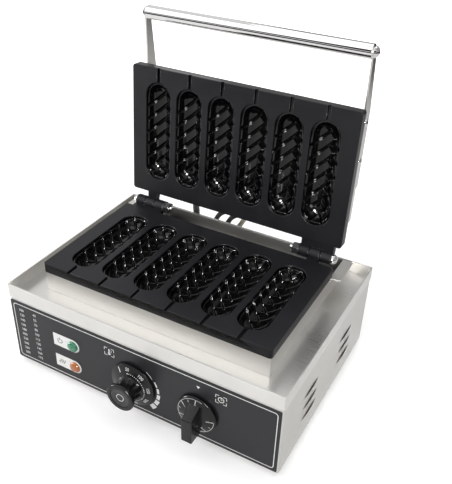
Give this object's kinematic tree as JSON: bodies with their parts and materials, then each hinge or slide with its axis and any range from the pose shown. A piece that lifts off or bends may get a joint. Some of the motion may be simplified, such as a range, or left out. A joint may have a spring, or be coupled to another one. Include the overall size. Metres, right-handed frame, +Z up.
{
  "type": "waffle stick maker",
  "caption": "Countertop waffle stick maker with hinged cast plates, plaited stick cavities, dials, pilot lamps and drip tray, shown open",
  "frame": {"origin": "centre of the footprint, between the four feet, on the surface that they stand on", "axes": "+X to the right seen from the front panel, +Y to the back where the lid is hinged, +Z up"},
  "size_m": [0.3544, 0.3166, 0.3791],
  "materials": {
    "brushed_stainless": "fine brushed sheet",
    "tray_stainless": "smooth rolled sheet with faint drawing marks",
    "polished_steel": "bright polished",
    "zinc_steel": "zinc plated, satin",
    "black_steel": "blackened, satin",
    "coated_cast_aluminium": "black non-stick coating, slightly grained",
    "element_sheath": "heat-dulled steel sheath",
    "white_ceramic": "glazed ceramic",
    "mineral_wool": "matted mineral wool",
    "black_rubber": "matt rubber",
    "label_film": "satin printed film",
    "white_label": "satin printed plate",
    "black_bakelite": "moulded, semi-gloss",
    "knob_cap": "glossy moulded disc",
    "green_lens": "translucent moulded lens",
    "orange_lens": "translucent moulded lens",
    "brass": "plain brass",
    "copper_tube": "drawn copper",
    "lead_sleeve": "matt sleeve",
    "lead_braid": "woven metal-laced sleeve"
  },
  "bodies": {
    "base": {"housing_shell": "brushed_stainless", "rear_panel": "brushed_stainless", "rear_panel_screws": "zinc_steel", "base_plate": "brushed_stainless", "base_plate_screws": "zinc_steel", "feet": "black_rubber", "foot_screws": "zinc_steel", "foot_nuts": "zinc_steel", "drip_tray": "tray_stainless", "riser_frame": "brushed_stainless", "lower_plate": "coated_cast_aluminium", "lower_element": "element_sheath", "lower_element_terminals": "white_ceramic", "lower_clamp_plate": "zinc_steel", "lower_studs": "zinc_steel", "lower_insulation": "mineral_wool", "deck_nuts": "zinc_steel", "hinge_bolts": "polished_steel", "hinge_washers": "black_steel", "hinge_nuts": "black_steel", "front_label": "label_film", "upper_lamp_plate": "white_label", "lower_lamp_plate": "white_label", "lamp_bodies": "black_bakelite", "lamp_nuts": "black_bakelite", "power_lamp_lens": "green_lens", "heat_lamp_lens": "orange_lens", "thermostat": "black_bakelite", "thermostat_bulb": "copper_tube", "capillary_tube": "copper_tube", "timer": "zinc_steel", "terminal_block": "white_ceramic", "terminal_screws": "brass", "power_inlet": "black_rubber", "rear_grommets": "black_rubber", "lid_lead_left": "lead_sleeve", "lid_lead_middle": "lead_sleeve", "lid_lead_right": "lead_sleeve", "earth_lead": "lead_braid"},
    "lid": {"upper_plate": "coated_cast_aluminium", "upper_element": "element_sheath", "upper_element_terminals": "white_ceramic", "upper_clamp_plate": "zinc_steel", "upper_studs": "zinc_steel", "upper_insulation": "mineral_wool", "lid_cover": "brushed_stainless", "cover_screws": "polished_steel", "lid_grommets": "black_rubber", "handle_arm_left": "brushed_stainless", "handle_arm_right": "brushed_stainless", "handle_tube": "polished_steel", "handle_plugs": "zinc_steel", "handle_bolts": "polished_steel", "arm_screws": "polished_steel", "arm_nuts": "zinc_steel"},
    "temperature_dial": {"temperature_knob": "black_bakelite", "temperature_knob_cap": "knob_cap", "temperature_spindle": "zinc_steel"},
    "timer_dial": {"timer_knob": "black_bakelite", "timer_spindle": "zinc_steel"}
  },
  "joints": [
    {"name": "lid_hinge", "type": "hinge", "parent": "base", "child": "lid", "pos_m": [0, 0.0835, 0.1375], "axis": [1, 0, 0], "range_deg": [0, 93.5], "deforming": ["lid_lead_left", "lid_lead_middle", "lid_lead_right", "earth_lead"]},
    {"name": "temperature_dial_turn", "type": "hinge", "parent": "base", "child": "temperature_dial", "pos_m": [-0.0025, -0.13, 0.0455], "axis": [0, 1, 0], "range_deg": [0, 270]},
    {"name": "timer_dial_turn", "type": "hinge", "parent": "base", "child": "timer_dial", "pos_m": [0.079, -0.13, 0.0445], "axis": [0, 1, 0], "range_deg": [0, 300]}
  ]
}
